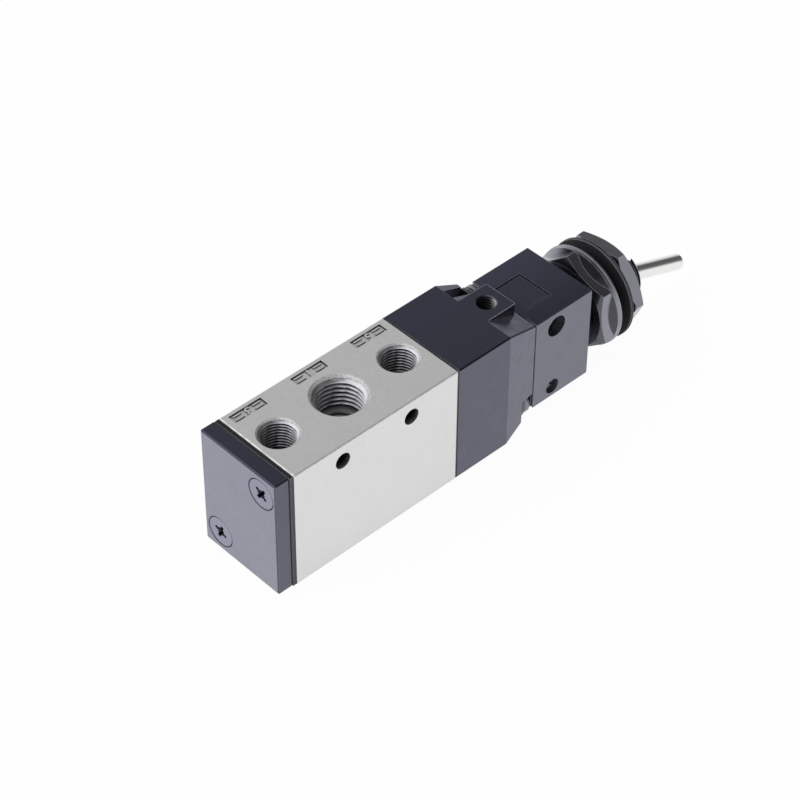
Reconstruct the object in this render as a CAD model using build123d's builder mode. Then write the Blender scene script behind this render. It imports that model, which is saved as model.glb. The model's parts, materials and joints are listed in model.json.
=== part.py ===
"""Hand lever air valve: a five port spool valve, switched by a small pilot valve with a toggle lever.

All sizes are millimetres. X runs along the spool from the end cap to the lever, Z points up through the
three upper ports, and -Y is the side that carries the screws of the pilot valve. The origin is the centre
of the body's bottom face.
"""

import os
from math import cos, pi, radians, sin, tan

from build123d import *

# Valve body
body_length = 50.9
body_width = 26.0
body_height = 35.0
body_edge_radius = 0.5
axis_height = body_height / 2
body_end = body_length / 2

# Spool bore and the ring chambers behind the ports
bore_radius = 6.0
chamber_radius = 8.0
chamber_width = 4.6
chamber_pitch = 9.35
chamber_count = 5

# Threaded ports
large_thread_radius = 6.58
large_mouth_radius = 7.25
large_thread_depth = 9.0
large_drill_radius = 4.2
small_thread_radius = 4.86
small_mouth_radius = 5.25
small_thread_depth = 8.5
small_drill_radius = 3.0
mouth_angle = 90
drill_bite = 0.5

# Cross holes that fasten the valve, and the sunk number fields
mounting_radius = 2.2
mounting_spacing = 21.4
mounting_height = 30.2
field_length = 9.6
field_width = 2.7
field_offset = 10.35
field_depth = 0.35

# End cap with its gasket and screws
cap_thickness = 4.3
cap_side_inset = 0.15
cap_shift = 0.2
cap_top_inset = 0.1
cap_edge = 0.35
cap_back_edge = 0.3
cap_gasket_thickness = 1.1
gasket_inset = 0.15
cap_screw_radius = 2.0
cap_head_radius = 3.95
cap_head_sink = 0.12
cap_sink_radius = 4.3
cap_screw_length = 15.5
cap_screw_inset = 5.3
screw_top_inset = 5.7
spring_pocket_radius = 3.6
cap_pocket_depth = 2.8

# Adapter block between body and pilot valve
adapter_gasket_thickness = 0.6
adapter_length = 27.3
ramp_length = 10.5
boss_setback = 0.95
boss_corner = 0.4
port_setback = 5.8
pilot_thread_radius = 2.5
pilot_mouth_radius = 2.72
pilot_thread_depth = 6.0
passage_radius = 1.0
supply_rise = 3.0
signal_offset = 7.2
piston_chamber_radius = 9.0
piston_chamber_depth = 8.2
tongue_length = 10.7
tongue_depth = 6.8
tongue_recess = 0.2

# Screws that hold the adapter on the body
adapter_screw_inset = 4.6
adapter_screw_radius = 1.5
adapter_head_radius = 2.9
adapter_head_height = 2.7
adapter_head_round = 0.7
adapter_washer_radius = 3.2
adapter_washer_thickness = 1.1
adapter_washer_edge = 0.2
adapter_thread_length = 9.9
notch_length = 4.35
notch_margin = 0.3

# Pilot valve block
pilot_gasket_thickness = 0.4
pilot_gasket_inset = 0.5
pilot_length = 19.2
pilot_width = 22.16
pilot_height = 27.0
pilot_edge = 0.15
slot_clearance = 0.4
poppet_room_radius = 4.6
poppet_room_depth = 7.25
seat_radius = 1.9
seat_thickness = 2.0
spigot_room_depth = 6.2

# Cross screw and lock pin through the tongues
cross_screw_x = 7.0
cross_screw_z = 9.2
cross_sink_radius = 2.95
cross_sink_depth = 5.0
cross_head_radius = 2.6
cross_head_height = 2.0
cross_shank_radius = 1.5
cross_blind_gap = 0.5
lock_pin_x = 6.65
lock_pin_z = 10.3
lock_pin_radius = 2.1
lock_pin_sink = 1.8
pin_slot_width = 0.7
pin_slot_depth = 1.0
pin_slot_angle = 35
far_wall_left = 2.2

# Screwdriver crosses, as shares of the screw head's radius
recess_reach = 0.5
recess_width = 0.23
recess_core = 0.3
recess_depth = 0.34
recess_draft = 12
cap_recess_angles = (54, 70)

# Toggle bushing and what is stacked on it
bushing_radius = 8.0
bushing_reach = 22.35
bushing_chamfer = 0.5
spigot_radius = 6.0
spigot_length = 6.0
guide_length = 11.5
bushing_room_radius = 5.6
mouth_slot_width = 8.2
mouth_slot_depth = 4.7
nut_standoff = 3.15
nut_across_flats = 24.0
nut_face_radius = 11.6
nut_chamfer_angle = 30
nut_collar_radius = 13.6
nut_collar_rim = 0.75
nut_collar_root = 11.0
nut_collar_angle = 41
inner_nut_thickness = 5.1
outer_nut_thickness = 4.6
inner_nut_angle = 22.7
outer_nut_angle = 56.7
washer_radius = 13.75
washer_thickness = 0.8
washer_edge = 0.2
panel_gap = 3.1
packing_radius = 13.8
packing_thickness = 1.0
packing_edge = 0.2

# Toggle lever, its pivot pin and its cam
pivot_distance = 17.2
lever_tilt = 20.0
lever_radius = 2.2
lever_length = 29.9
lever_tip_edge = 0.6
hub_radius = 3.3
hub_half_width = 3.6
cam_offset = 3.4
cam_radius = 1.9
cam_half_width = 2.0
cam_lead = 60.0
pivot_pin_radius = 1.25

# Plunger, poppet and their spring
plunger_radius = 2.5
plunger_head_radius = 4.2
plunger_head_length = 2.0
plunger_head_edge = 0.4
plunger_gap = 0.3
stem_radius = 1.2
stem_length = 5.4
stem_seat = 1.5
poppet_radius = 3.4
poppet_thickness = 2.05
poppet_lift_gap = 0.05
spring_nose_radius = 1.7
spring_nose_length = 0.8
pilot_coil_radius = 2.4
pilot_wire_radius = 0.25
pilot_turns = 4
seal_ring_radius = 3.95
seal_ring_thickness = 1.4

# Spool with its seals, return spring and piston
spool_stroke = 3.0
land_radius = 5.6
waist_radius = 3.2
spool_end_margin = 0.975
seal_width = 1.5
seal_depth = 1.0
seal_edge = 0.35
land_margin = 0.8
spool_pocket_depth = 1.5
return_coil_radius = 2.7
return_wire_radius = 0.35
return_turns = 5
piston_radius = 8.7
piston_thickness = 4.0
piston_boss_radius = 4.0
piston_rest_gap = 0.8
piston_seal_width = 1.6
piston_seal_depth = 1.2

# Fits
running_clearance = 0.05
thread_clearance = 0.05
screw_clearance = 0.2
press_clearance = 0.02
thread_runout = 1.0

# Stations along X that follow from the sizes above
cap_inner = -body_end - cap_gasket_thickness
cap_face = cap_inner - cap_thickness
adapter_start = body_end + adapter_gasket_thickness
adapter_end = adapter_start + adapter_length
ramp_start = adapter_end - ramp_length
boss_end = adapter_end - boss_setback
notch_start = adapter_end - notch_length
pilot_start = adapter_end + pilot_gasket_thickness
pilot_end = pilot_start + pilot_length
tongue_end = adapter_end + tongue_length
seat_front = pilot_start + poppet_room_depth
seat_back = seat_front + seat_thickness
spigot_room_start = pilot_end - spigot_room_depth
spigot_start = pilot_end - spigot_length
guide_end = spigot_start + guide_length
mouth = pilot_end + bushing_reach
pivot = pilot_end + pivot_distance
inner_nut_start = pilot_end + nut_standoff
washer_start = inner_nut_start + inner_nut_thickness
packing_start = washer_start + washer_thickness + panel_gap
outer_nut_start = packing_start + packing_thickness
cam_reach = cam_offset * cos(radians(cam_lead)) + cam_radius
plunger_face = pivot - cam_reach - plunger_gap
plunger_neck = plunger_face - plunger_head_length
poppet_back = seat_front - poppet_lift_gap
poppet_front = poppet_back - poppet_thickness
chamber_end = adapter_start + piston_chamber_depth
piston_back = chamber_end - piston_rest_gap
piston_front = piston_back - piston_thickness

# Seals along the spool, counted from its middle: two close off the ring chamber edges, one the body's end
spool_rest = spool_stroke / 2
outer_chamber = 2 * chamber_pitch
inner_seal_x = chamber_width / 2 + seal_width / 2 - spool_rest
middle_seal_x = outer_chamber - chamber_width / 2 + seal_width / 2 - spool_rest
outer_seal_x = (outer_chamber + chamber_width / 2 + body_end) / 2
spool_left = spool_rest - outer_seal_x - spool_end_margin
spool_right = spool_rest + outer_seal_x + spool_end_margin

# Heights that follow from the sizes above
pilot_top = axis_height + pilot_height / 2
pilot_bottom = axis_height - pilot_height / 2
tongue_rise = tongue_depth - tongue_recess
tongue_heights = (pilot_top - tongue_depth, pilot_bottom + tongue_recess)
cross_hole_height = axis_height + cross_screw_z
lock_hole_height = axis_height - lock_pin_z
cross_hole_x = pilot_start + cross_screw_x
lock_hole_x = pilot_start + lock_pin_x
supply_port_x = adapter_end - port_setback

# Places of the two screw pairs, as (y, height), on opposite diagonals
cap_screw_y = body_width / 2 - cap_screw_inset
adapter_screw_y = body_width / 2 - adapter_screw_inset
boss_half_width = adapter_screw_y - adapter_washer_radius - screw_clearance
cap_screw_places = [(-cap_screw_y, body_height - screw_top_inset), (cap_screw_y, screw_top_inset)]
adapter_screw_places = [
    (-adapter_screw_y, screw_top_inset),
    (adapter_screw_y, body_height - screw_top_inset),
]

# The turning plane holds half profiles that are revolved about the spool axis
spool_axis = Axis((0, 0, axis_height), (1, 0, 0))
turning_plane = Plane((0, 0, axis_height), x_dir=(1, 0, 0), z_dir=(0, -1, 0))


def across(x):
    """The plane square to the spool axis at x, with its own origin on that axis."""
    return Plane((x, 0, axis_height), x_dir=(0, 1, 0), z_dir=(1, 0, 0))


def facing(direction, places):
    """Planes for hole features at the places, with their outward side along direction."""
    return [Plane(place, z_dir=direction) for place in places]


def ring_section(start, end, inner, outer):
    """A rectangle of a turned half profile, from start to end and from inner to outer radius."""
    with BuildSketch(turning_plane) as section:
        with Locations(((start + end) / 2, (inner + outer) / 2)):
            Rectangle(end - start, outer - inner)
    return section.sketch


def turn(start, end, outer, inner=0.0, mode=Mode.ADD):
    """Add or cut a turned ring or disc in the part being built."""
    revolve(ring_section(start, end, inner, outer), axis=spool_axis, mode=mode)


def cross_bar(plane, length, radius, mode=Mode.ADD):
    """Add or cut a round bar that starts on the plane and runs along its normal."""
    with BuildSketch(plane) as section:
        Circle(radius)
    extrude(section.sketch, amount=length, mode=mode)


def cut_block(x_range, y_range, z_range):
    """Cut a rectangular block out of the part being built."""
    with BuildSketch(Plane.XY.offset(z_range[0])) as section:
        with Locations(((x_range[0] + x_range[1]) / 2, (y_range[0] + y_range[1]) / 2)):
            Rectangle(x_range[1] - x_range[0], y_range[1] - y_range[0])
    extrude(section.sketch, amount=z_range[1] - z_range[0], mode=Mode.SUBTRACT)


def threaded_port(places, direction, thread, opening, depth):
    """Cut a chamfered hole, at its thread's full size, at each place."""
    with Locations(*facing(direction, places)):
        CounterSinkHole(thread, opening, depth, mouth_angle)


def drill_to_chamber(x, top, radius):
    """Drill from the floor of a port down, or up, into its ring chamber."""
    reach = chamber_radius - drill_bite
    floor = axis_height + reach if top else axis_height - reach
    side = body_height if top else 0.0
    cross_bar(Plane((x, 0, floor), z_dir=(0, 0, 1 if top else -1)), abs(side - floor), radius, Mode.SUBTRACT)


def cross_recess(plane, head_radius, turned=0.0):
    """Cut the cross of a screwdriver into a screw head, from the plane inwards."""
    reach = 2 * recess_reach * head_radius
    width = recess_width * head_radius
    with BuildSketch(plane) as section:
        Rectangle(reach, width, rotation=turned)
        Rectangle(width, reach, rotation=turned)
        Circle(recess_core * head_radius)
    depth = recess_depth * head_radius
    extrude(section.sketch, amount=-depth, taper=recess_draft, mode=Mode.SUBTRACT)


def seal_ring(x, width, inner, outer):
    """Add a seal ring, centred at x, with its four edges taken off."""
    with BuildSketch(turning_plane) as section:
        with Locations((x, (inner + outer) / 2)):
            Rectangle(width, outer - inner)
        chamfer(section.vertices(), seal_edge)
    revolve(section.sketch, axis=spool_axis)


def coil(start, end, coil_radius, wire_radius, turns):
    """A wire coil about the spool axis that touches start and end with its first and last turn."""
    travel = end - start - 2 * wire_radius
    origin = (start + wire_radius, 0, axis_height)
    with BuildLine() as path:
        Helix(travel / turns, travel, coil_radius, center=origin, direction=(1, 0, 0))
    wire = path.line
    with BuildSketch(Plane(wire @ 0, z_dir=wire % 0)) as section:
        Circle(wire_radius)
    sweep(section.sketch, path=wire, is_frenet=True)


def hex_nut(start, thickness, turned):
    """A hex nut on the bushing's thread, chamfered on both faces."""
    corner_radius = nut_across_flats / 2 / cos(pi / 6)
    slope = (corner_radius - nut_face_radius) * tan(radians(nut_chamfer_angle))
    with BuildSketch(across(start)) as outline:
        RegularPolygon(corner_radius, 6, rotation=turned)
        Circle(bushing_radius + thread_clearance, mode=Mode.SUBTRACT)
    extrude(outline.sketch, amount=thickness)
    with BuildSketch(turning_plane) as envelope:
        with BuildLine():
            Polyline(
                (start, 0),
                (start, nut_face_radius),
                (start + slope, corner_radius),
                (start + thickness - slope, corner_radius),
                (start + thickness, nut_face_radius),
                (start + thickness, 0),
                close=True,
            )
        make_face()
    revolve(envelope.sketch, axis=spool_axis, mode=Mode.INTERSECT)


def finish(builder, name):
    """Label a finished piece and write it to its own file."""
    builder.part.label = name
    export_step(builder.part, f"parts/{name}.step")


os.makedirs("parts", exist_ok=True)

# Valve body: block with rounded long edges, spool bore, ring chambers, five ports and the screw holes
port_spacing = 2 * chamber_pitch
upper_ports = [(0, 0, body_height)]
exhaust_ports = [(-port_spacing, 0, body_height), (port_spacing, 0, body_height)]
cylinder_ports = [(-chamber_pitch, 0, 0), (chamber_pitch, 0, 0)]

with BuildPart() as valve_body:
    with BuildSketch(across(-body_end)):
        RectangleRounded(body_width, body_height, body_edge_radius)
    extrude(amount=body_length)
    turn(-body_end, body_end, bore_radius, mode=Mode.SUBTRACT)
    for place in range(chamber_count):
        middle = (place - (chamber_count - 1) / 2) * chamber_pitch
        turn(middle - chamber_width / 2, middle + chamber_width / 2, chamber_radius, mode=Mode.SUBTRACT)
    threaded_port(upper_ports, (0, 0, 1), large_thread_radius, large_mouth_radius, large_thread_depth)
    threaded_port(exhaust_ports, (0, 0, 1), small_thread_radius, small_mouth_radius, small_thread_depth)
    threaded_port(cylinder_ports, (0, 0, -1), large_thread_radius, large_mouth_radius, large_thread_depth)
    drill_to_chamber(0, True, large_drill_radius)
    for x in (-port_spacing, port_spacing):
        drill_to_chamber(x, True, small_drill_radius)
    for x in (-chamber_pitch, chamber_pitch):
        drill_to_chamber(x, False, large_drill_radius)
    for x in (-mounting_spacing / 2, mounting_spacing / 2):
        side = Plane((x, -body_width / 2, mounting_height), z_dir=(0, 1, 0))
        cross_bar(side, body_width, mounting_radius, Mode.SUBTRACT)
    cap_thread_depth = cap_screw_length - cap_thickness - cap_gasket_thickness + thread_runout
    for y, z in cap_screw_places:
        hole = Plane((-body_end, y, z), z_dir=(1, 0, 0))
        cross_bar(hole, cap_thread_depth, cap_screw_radius + thread_clearance, Mode.SUBTRACT)
    for y, z in adapter_screw_places:
        hole = Plane((body_end, y, z), z_dir=(-1, 0, 0))
        hole_depth = adapter_thread_length + thread_runout
        cross_bar(hole, hole_depth, adapter_screw_radius + thread_clearance, Mode.SUBTRACT)
    with BuildSketch(Plane.XY.offset(body_height)):
        with Locations((0, field_offset)):
            with GridLocations(port_spacing, field_width, 3, 1):
                Rectangle(field_length, field_width)
    extrude(amount=-field_depth, mode=Mode.SUBTRACT)
finish(valve_body, "valve_body")

# End cap: flat plate with softened edges, two countersunk holes and a pocket for the return spring; its
# outline lies a little towards the far side
with BuildPart() as end_cap:
    with BuildSketch(across(cap_face)):
        with Locations((cap_shift, 0)):
            Rectangle(body_width - 2 * cap_side_inset, body_height - 2 * cap_top_inset)
    extrude(amount=cap_thickness)
    outer_face = end_cap.faces().sort_by(Axis.X)[0]
    inner_face = end_cap.faces().sort_by(Axis.X)[-1]
    chamfer(outer_face.edges(), cap_edge)
    chamfer(inner_face.edges(), cap_back_edge)
    fillet(end_cap.edges().filter_by(Axis.X), cap_edge)
    with Locations(*facing((-1, 0, 0), [(cap_face, y, z) for y, z in cap_screw_places])):
        CounterSinkHole(cap_screw_radius + screw_clearance, cap_sink_radius, cap_thickness, mouth_angle)
    turn(cap_inner - cap_pocket_depth, cap_inner, spring_pocket_radius, mode=Mode.SUBTRACT)
finish(end_cap, "end_cap")

# End cap gasket: rubber sheet with the outline of the body, open over the spool bore
with BuildPart() as end_cap_gasket:
    with BuildSketch(across(cap_inner)):
        Rectangle(body_width - 2 * gasket_inset, body_height - 2 * gasket_inset)
        Circle(bore_radius + gasket_inset, mode=Mode.SUBTRACT)
        with Locations(*[(y, z - axis_height) for y, z in cap_screw_places]):
            Circle(cap_screw_radius + screw_clearance, mode=Mode.SUBTRACT)
    extrude(amount=cap_gasket_thickness)
finish(end_cap_gasket, "end_cap_gasket")

# End cap screws: flat heads that lie just below the face of the cap
with BuildPart() as end_cap_screws:
    head_face = cap_face + cap_head_sink
    head_height = cap_head_radius - cap_screw_radius
    for (y, z), turned in zip(cap_screw_places, cap_recess_angles):
        face = Plane((head_face, y, z), z_dir=(1, 0, 0))
        with BuildSketch(face) as head:
            Circle(cap_head_radius)
        extrude(head.sketch, amount=head_height, taper=mouth_angle / 2)
        cross_bar(face, cap_screw_length, cap_screw_radius)
        cross_recess(Plane((head_face, y, z), z_dir=(-1, 0, 0)), cap_head_radius, turned)
finish(end_cap_screws, "end_cap_screws")

# Adapter gasket: thin sheet between body and adapter, open over the piston chamber
with BuildPart() as adapter_gasket:
    with BuildSketch(across(body_end)):
        Rectangle(body_width - 2 * gasket_inset, body_height - 2 * gasket_inset)
        Circle(piston_chamber_radius, mode=Mode.SUBTRACT)
        with Locations(*[(y, z - axis_height) for y, z in adapter_screw_places]):
            Circle(adapter_screw_radius + screw_clearance, mode=Mode.SUBTRACT)
    extrude(amount=adapter_gasket_thickness)
finish(adapter_gasket, "adapter_gasket")

# Adapter block: full section at the body, tapering on all four sides to the pilot block, with a raised
# boss for the small port and two tongues that key into the pilot block
shank_hole_radius = adapter_screw_radius + screw_clearance
with BuildPart() as adapter_block:
    with BuildSketch(across(adapter_start)):
        RectangleRounded(body_width, body_height, body_edge_radius)
    extrude(amount=adapter_length - ramp_length)
    with BuildSketch(across(ramp_start)):
        RectangleRounded(body_width, body_height, body_edge_radius)
    with BuildSketch(across(adapter_end)):
        RectangleRounded(pilot_width, pilot_height, body_edge_radius)
    loft()
    with BuildSketch(Plane.XY.offset(axis_height)) as boss_outline:
        with Locations((boss_end, 0)):
            Rectangle(boss_end - ramp_start, 2 * boss_half_width, align=(Align.MAX, Align.CENTER))
        fillet(boss_outline.vertices().group_by(Axis.X)[-1], boss_corner)
    extrude(amount=body_height - axis_height)
    for height in tongue_heights:
        with BuildSketch(Plane.XY.offset(height)):
            with Locations((tongue_end, 0)):
                Rectangle(tongue_end - ramp_start, 2 * boss_half_width, align=(Align.MAX, Align.CENTER))
        extrude(amount=tongue_rise)
    turn(adapter_start, chamber_end, piston_chamber_radius, mode=Mode.SUBTRACT)
    threaded_port(
        [(supply_port_x, 0, body_height)],
        (0, 0, 1),
        pilot_thread_radius,
        pilot_mouth_radius,
        pilot_thread_depth,
    )
    supply_height = axis_height + supply_rise
    drill_top = body_height - pilot_thread_depth
    drill_start = Plane((supply_port_x, 0, supply_height), z_dir=(0, 0, 1))
    cross_bar(drill_start, drill_top - supply_height, passage_radius, Mode.SUBTRACT)
    supply_start = Plane((supply_port_x, 0, supply_height), z_dir=(1, 0, 0))
    cross_bar(supply_start, port_setback, passage_radius, Mode.SUBTRACT)
    signal_start = Plane((adapter_start, signal_offset, axis_height), z_dir=(1, 0, 0))
    cross_bar(signal_start, adapter_length, passage_radius, Mode.SUBTRACT)
    for y, z in adapter_screw_places:
        side = 1 if y > 0 else -1
        hole = Plane((adapter_start, y, z), z_dir=(1, 0, 0))
        cross_bar(hole, adapter_length, shank_hole_radius, Mode.SUBTRACT)
        open_edge = side * body_width
        notch_floor = z - side * (adapter_washer_radius + notch_margin)
        channel = sorted((y - shank_hole_radius, y + shank_hole_radius))
        cut_block((ramp_start, adapter_end), channel, sorted((z, z + side * body_height)))
        corner = sorted((side * boss_half_width, open_edge))
        cut_block((notch_start, adapter_end), corner, sorted((notch_floor, z + side * body_height)))
    cross_bar(
        Plane((cross_hole_x, boss_half_width, cross_hole_height), z_dir=(0, -1, 0)),
        2 * boss_half_width,
        cross_shank_radius + screw_clearance,
        Mode.SUBTRACT,
    )
    cross_bar(
        Plane((lock_hole_x, boss_half_width, lock_hole_height), z_dir=(0, -1, 0)),
        2 * boss_half_width,
        lock_pin_radius + thread_clearance,
        Mode.SUBTRACT,
    )
finish(adapter_block, "adapter_block")

# Adapter screws: long screws from the corner notches into the body, with washers under the heads
washer_face = notch_start + adapter_washer_thickness
with BuildPart() as adapter_screw_washers:
    washer_planes = [Plane((notch_start, y, z), z_dir=(1, 0, 0)) for y, z in adapter_screw_places]
    for wall in washer_planes:
        cross_bar(wall, adapter_washer_thickness, adapter_washer_radius)
    chamfer(adapter_screw_washers.edges().filter_by(GeomType.CIRCLE), adapter_washer_edge)
    for wall in washer_planes:
        cross_bar(wall, adapter_washer_thickness, shank_hole_radius, Mode.SUBTRACT)
finish(adapter_screw_washers, "adapter_screw_washers")

with BuildPart() as adapter_screws:
    shank_length = washer_face - body_end + adapter_thread_length
    for y, z in adapter_screw_places:
        cross_bar(Plane((washer_face, y, z), z_dir=(1, 0, 0)), adapter_head_height, adapter_head_radius)
    head_tops = adapter_screws.faces().filter_by(Plane.YZ).group_by(Axis.X)[-1]
    fillet(head_tops.edges(), adapter_head_round)
    for y, z in adapter_screw_places:
        cross_bar(Plane((washer_face, y, z), z_dir=(-1, 0, 0)), shank_length, adapter_screw_radius)
        head_top = Plane((washer_face + adapter_head_height, y, z), z_dir=(1, 0, 0))
        cross_recess(head_top, adapter_head_radius)
finish(adapter_screws, "adapter_screws")

# Pilot gasket: covers the pilot block's end face, open over the tongues, the poppet room and the passage
slot_half_width = boss_half_width + slot_clearance
with BuildPart() as pilot_gasket:
    with BuildSketch(across(adapter_end)):
        Rectangle(pilot_width - 2 * pilot_gasket_inset, pilot_height - 2 * pilot_gasket_inset)
        slot_middle = (pilot_height - tongue_depth - slot_clearance) / 2
        for side in (-1, 1):
            with Locations((0, side * slot_middle)):
                Rectangle(2 * slot_half_width, tongue_depth + slot_clearance, mode=Mode.SUBTRACT)
        Circle(poppet_room_radius, mode=Mode.SUBTRACT)
        with Locations((signal_offset, 0)):
            Circle(passage_radius, mode=Mode.SUBTRACT)
    extrude(amount=pilot_gasket_thickness)
finish(pilot_gasket, "pilot_gasket")

# Pilot block: box with slots for the tongues, the poppet room, the seat, and the bore for the bushing
slot_x = (pilot_start, tongue_end + slot_clearance)
slot_y = (-slot_half_width, slot_half_width)
near_side = -pilot_width / 2
cross_thread_end = pilot_width / 2 - far_wall_left
with BuildPart() as pilot_block:
    with BuildSketch(across(pilot_start)):
        Rectangle(pilot_width, pilot_height)
    extrude(amount=pilot_length)
    chamfer(pilot_block.edges(), pilot_edge)
    cut_block(slot_x, slot_y, (pilot_top - tongue_depth - slot_clearance, body_height))
    cut_block(slot_x, slot_y, (0, pilot_bottom + tongue_depth + slot_clearance))
    turn(pilot_start, seat_front, poppet_room_radius, mode=Mode.SUBTRACT)
    turn(seat_front, seat_back, seat_radius, mode=Mode.SUBTRACT)
    turn(seat_back, spigot_room_start, poppet_room_radius, mode=Mode.SUBTRACT)
    turn(spigot_room_start, pilot_end, spigot_radius + thread_clearance, mode=Mode.SUBTRACT)
    signal_end = (seat_back + spigot_room_start) / 2
    signal_line = Plane((pilot_start, signal_offset, axis_height), z_dir=(1, 0, 0))
    cross_bar(signal_line, signal_end - pilot_start + passage_radius, passage_radius, Mode.SUBTRACT)
    signal_turn = Plane((signal_end, signal_offset, axis_height), z_dir=(0, -1, 0))
    cross_bar(signal_turn, signal_offset, passage_radius, Mode.SUBTRACT)
    with Locations(*facing((0, -1, 0), [(cross_hole_x, near_side, cross_hole_height)])):
        CounterBoreHole(
            cross_shank_radius + thread_clearance,
            cross_sink_radius,
            cross_sink_depth,
            cross_thread_end - near_side,
        )
    cross_bar(
        Plane((lock_hole_x, near_side, lock_hole_height), z_dir=(0, 1, 0)),
        cross_thread_end - near_side,
        lock_pin_radius + thread_clearance,
        Mode.SUBTRACT,
    )
finish(pilot_block, "pilot_block")

# Cross screw through the upper tongue, sunk in its counterbore
with BuildPart() as pilot_cross_screw:
    head_seat = near_side + cross_sink_depth
    seat_plane = Plane((cross_hole_x, head_seat, cross_hole_height), z_dir=(0, -1, 0))
    cross_bar(seat_plane, cross_head_height, cross_head_radius)
    shank = Plane((cross_hole_x, head_seat, cross_hole_height), z_dir=(0, 1, 0))
    cross_bar(shank, cross_thread_end - head_seat - cross_blind_gap, cross_shank_radius)
    cross_recess(seat_plane.offset(cross_head_height), cross_head_radius)
finish(pilot_cross_screw, "pilot_cross_screw")

# Slotted lock pin through the lower tongue
with BuildPart() as pilot_lock_pin:
    pin_face = near_side + lock_pin_sink
    pin_start = Plane((lock_hole_x, pin_face, lock_hole_height), z_dir=(0, 1, 0))
    cross_bar(pin_start, cross_thread_end - pin_face - cross_blind_gap, lock_pin_radius)
    with BuildSketch(pin_start) as slot:
        Rectangle(pin_slot_width, 3 * lock_pin_radius, rotation=pin_slot_angle)
    extrude(slot.sketch, amount=pin_slot_depth, mode=Mode.SUBTRACT)
finish(pilot_lock_pin, "pilot_lock_pin")

# Toggle bushing: spigot in the pilot block, guide bore for the plunger, and a slotted mouth for the lever
with BuildPart() as toggle_bushing:
    turn(spigot_start, pilot_end, spigot_radius)
    turn(pilot_end, mouth, bushing_radius)
    mouth_rim = toggle_bushing.edges().filter_by(GeomType.CIRCLE).group_by(Axis.X)[-1]
    chamfer(mouth_rim, bushing_chamfer)
    seal_room_end = spigot_start + seal_ring_thickness + running_clearance
    turn(spigot_start, guide_end, plunger_radius + running_clearance, mode=Mode.SUBTRACT)
    turn(spigot_start, seal_room_end, seal_ring_radius + press_clearance, mode=Mode.SUBTRACT)
    turn(guide_end, mouth, bushing_room_radius, mode=Mode.SUBTRACT)
    half_slot = mouth_slot_width / 2
    cut_block((mouth - mouth_slot_depth, mouth), (-half_slot, half_slot), (0, body_height))
    pin_hole = Plane((pivot, -bushing_radius, axis_height), z_dir=(0, 1, 0))
    cross_bar(pin_hole, 2 * bushing_radius, pivot_pin_radius + press_clearance, Mode.SUBTRACT)
finish(toggle_bushing, "toggle_bushing")

# Nuts, washer and packing ring that clamp a panel between them; the inner nut widens into a conical collar
with BuildPart() as panel_nut_inner:
    hex_nut(inner_nut_start, inner_nut_thickness, inner_nut_angle)
    nut_bore = bushing_radius + thread_clearance
    rim_start = washer_start - nut_collar_rim
    root = rim_start - (nut_collar_radius - nut_collar_root) / tan(radians(nut_collar_angle))
    with BuildSketch(turning_plane) as collar:
        with BuildLine():
            Polyline(
                (root, nut_bore),
                (root, nut_collar_root),
                (rim_start, nut_collar_radius),
                (washer_start, nut_collar_radius),
                (washer_start, nut_bore),
                close=True,
            )
        make_face()
    revolve(collar.sketch, axis=spool_axis)
finish(panel_nut_inner, "panel_nut_inner")

with BuildPart() as panel_washer:
    washer_end = washer_start + washer_thickness
    turn(washer_start, washer_end, washer_radius, bushing_radius + screw_clearance)
    washer_circles = panel_washer.edges().filter_by(GeomType.CIRCLE)
    chamfer(washer_circles.sort_by(SortBy.RADIUS)[-2:], washer_edge)
finish(panel_washer, "panel_washer")

with BuildPart() as panel_packing:
    turn(packing_start, outer_nut_start, packing_radius, bushing_radius + screw_clearance)
    packing_circles = panel_packing.edges().filter_by(GeomType.CIRCLE)
    chamfer(packing_circles.sort_by(SortBy.RADIUS)[-2:], packing_edge)
finish(panel_packing, "panel_packing")

with BuildPart() as panel_nut_outer:
    hex_nut(outer_nut_start, outer_nut_thickness, outer_nut_angle)
finish(panel_nut_outer, "panel_nut_outer")

# Toggle lever: tilted steel rod on a hub, with a cam on the inner side of the hub
with BuildPart() as toggle_lever:
    tilt = radians(lever_tilt)
    rod_direction = (cos(tilt), 0, -sin(tilt))
    cross_bar(Plane((pivot, 0, axis_height), z_dir=rod_direction), lever_length, lever_radius)
    tip = toggle_lever.faces().filter_by(GeomType.PLANE).sort_by(Axis.X)[-1]
    fillet(tip.edges(), lever_tip_edge)
    hub_side = Plane((pivot, hub_half_width, axis_height), z_dir=(0, -1, 0))
    cross_bar(hub_side, 2 * hub_half_width, hub_radius)
    lead = radians(cam_lead)
    cam_x = pivot - cam_offset * cos(lead)
    cam_z = axis_height + cam_offset * sin(lead)
    cross_bar(Plane((cam_x, cam_half_width, cam_z), z_dir=(0, -1, 0)), 2 * cam_half_width, cam_radius)
    cross_bar(hub_side, 2 * hub_half_width, pivot_pin_radius + running_clearance, Mode.SUBTRACT)
finish(toggle_lever, "toggle_lever")

# Pivot pin: pressed into the bushing, inside the thread
with BuildPart() as lever_pivot_pin:
    pin_reach = bushing_radius - bushing_chamfer
    pin_base = Plane((pivot, -pin_reach, axis_height), z_dir=(0, 1, 0))
    cross_bar(pin_base, 2 * pin_reach, pivot_pin_radius)
finish(lever_pivot_pin, "lever_pivot_pin")

# Pilot plunger: mushroom head under the cam, guided shaft, and a thin stem that carries the poppet
with BuildPart() as pilot_plunger:
    stem_tip = poppet_back - stem_seat
    shaft_start = stem_tip + stem_length
    turn(stem_tip, shaft_start, stem_radius)
    turn(shaft_start, plunger_neck, plunger_radius)
    turn(plunger_neck, plunger_face, plunger_head_radius)
    head_rim = pilot_plunger.edges().filter_by(GeomType.CIRCLE).group_by(Axis.X)[-1]
    fillet(head_rim, plunger_head_edge)
finish(pilot_plunger, "pilot_plunger")

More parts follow.
